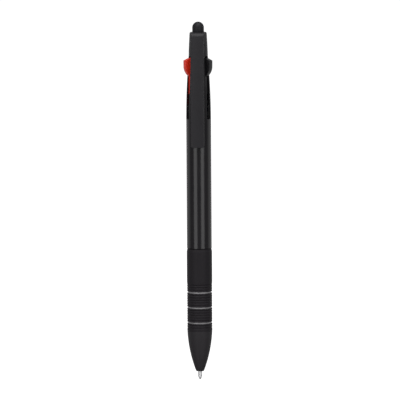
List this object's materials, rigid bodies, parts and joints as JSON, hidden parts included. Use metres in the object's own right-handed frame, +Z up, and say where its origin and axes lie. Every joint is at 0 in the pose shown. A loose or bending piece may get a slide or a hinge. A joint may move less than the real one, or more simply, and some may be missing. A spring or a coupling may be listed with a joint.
{
  "type": "multicolor click pen",
  "caption": "Multicolor ballpoint pen with colour sliders at the top, a pocket clip, a ribbed rubber grip with trim rings and a rubber stylus dome.",
  "frame": {"origin": "writing point: the end of the extended refill's ball", "axes": "+Z up the pen from the writing point to the stylus dome; -Y out through the pocket clip; +X completes the right-hand frame"},
  "size_m": [0.012, 0.014, 0.148],
  "materials": {
    "barrel_plastic": "glossy dark charcoal moulding",
    "clip_plastic": "satin charcoal moulding",
    "grip_rubber": "satin rubber",
    "dome_rubber": "matte conductive rubber",
    "plated_ring": "dull plated",
    "seat_plastic": "natural moulding",
    "red_plastic": "satin red moulding",
    "black_plastic": "satin black moulding",
    "blue_plastic": "satin blue moulding",
    "spring_steel": "bright drawn wire",
    "tube_plastic": "natural translucent tube",
    "tip_metal": "turned, nickel plated",
    "ball_metal": "ground carbide",
    "red_ink": "paste ink",
    "black_ink": "paste ink",
    "blue_ink": "paste ink"
  },
  "bodies": {
    "barrel": {"upper_barrel": "barrel_plastic", "cap": "barrel_plastic", "stylus_holder": "barrel_plastic", "stylus_tip": "dome_rubber", "spring_seat": "seat_plastic", "red_spring": "spring_steel", "black_spring": "spring_steel", "blue_spring": "spring_steel"},
    "grip_section": {"lower_barrel": "barrel_plastic", "grip_sleeve": "grip_rubber", "grip_ring_lower": "plated_ring", "grip_ring_middle": "plated_ring", "grip_ring_upper": "plated_ring"},
    "clip": {"pocket_clip": "clip_plastic"},
    "red_selector": {"red_slider": "red_plastic"},
    "red_refill": {"red_refill_tube": "tube_plastic", "red_refill_tip": "tip_metal", "red_refill_ball": "ball_metal", "red_ink": "red_ink"},
    "black_selector": {"black_slider": "black_plastic"},
    "black_refill": {"black_refill_tube": "tube_plastic", "black_refill_tip": "tip_metal", "black_refill_ball": "ball_metal", "black_ink": "black_ink"},
    "blue_selector": {"blue_slider": "blue_plastic"},
    "blue_refill": {"blue_refill_tube": "tube_plastic", "blue_refill_tip": "tip_metal", "blue_refill_ball": "ball_metal", "blue_ink": "blue_ink"}
  },
  "joints": [
    {"name": "clip_flex", "type": "hinge", "parent": "barrel", "child": "clip", "pos_m": [0, -0.0024, 0.14185], "axis": [-1, 0, 0], "range_deg": [0, 3], "stiffness_Nm_per_rad": 2.3},
    {"name": "grip_unscrew", "type": "slide", "parent": "barrel", "child": "grip_section", "axis": [0, 0, -1], "range_m": [0, 0.0075]},
    {"name": "red_slide", "type": "slide", "parent": "barrel", "child": "red_selector", "axis": [0, 0, -1], "range_m": [0, 0.01], "stiffness_N_per_m": 80, "springref_m": -0.012, "deforming": ["red_spring"]},
    {"name": "red_refill_lean", "type": "hinge", "parent": "red_selector", "child": "red_refill", "pos_m": [-0.00199, -0.00115, 0.114], "axis": [0.5, -0.866, 0], "range_deg": [0, 1.28], "deforming": ["red_refill_tube", "red_refill_tip", "red_refill_ball", "red_ink"]},
    {"name": "black_slide", "type": "slide", "parent": "barrel", "child": "black_selector", "axis": [0, 0, -1], "range_m": [0, 0.01], "stiffness_N_per_m": 80, "springref_m": -0.012, "deforming": ["black_spring"]},
    {"name": "black_refill_lean", "type": "hinge", "parent": "black_selector", "child": "black_refill", "pos_m": [0.00199, -0.00115, 0.114], "axis": [0.5, 0.866, 0], "range_deg": [0, 1.28], "deforming": ["black_refill_tube", "black_refill_tip", "black_refill_ball", "black_ink"]},
    {"name": "blue_slide", "type": "slide", "parent": "barrel", "child": "blue_selector", "axis": [0, 0, -1], "range_m": [-0.01, 0], "deforming": ["blue_spring"]},
    {"name": "blue_refill_lean", "type": "hinge", "parent": "blue_selector", "child": "blue_refill", "pos_m": [0, 0.0023, 0.104], "axis": [-1, 0, 0], "range_deg": [-1.28, 0], "deforming": ["blue_refill_tube", "blue_refill_tip", "blue_refill_ball", "blue_ink"]}
  ],
  "couplings": [
    {"joint": "red_refill_lean", "follows": "red_slide", "rad_per_m": 2.2113},
    {"joint": "black_refill_lean", "follows": "black_slide", "rad_per_m": 2.2113},
    {"joint": "blue_refill_lean", "follows": "blue_slide", "rad_per_m": 2.2113}
  ]
}
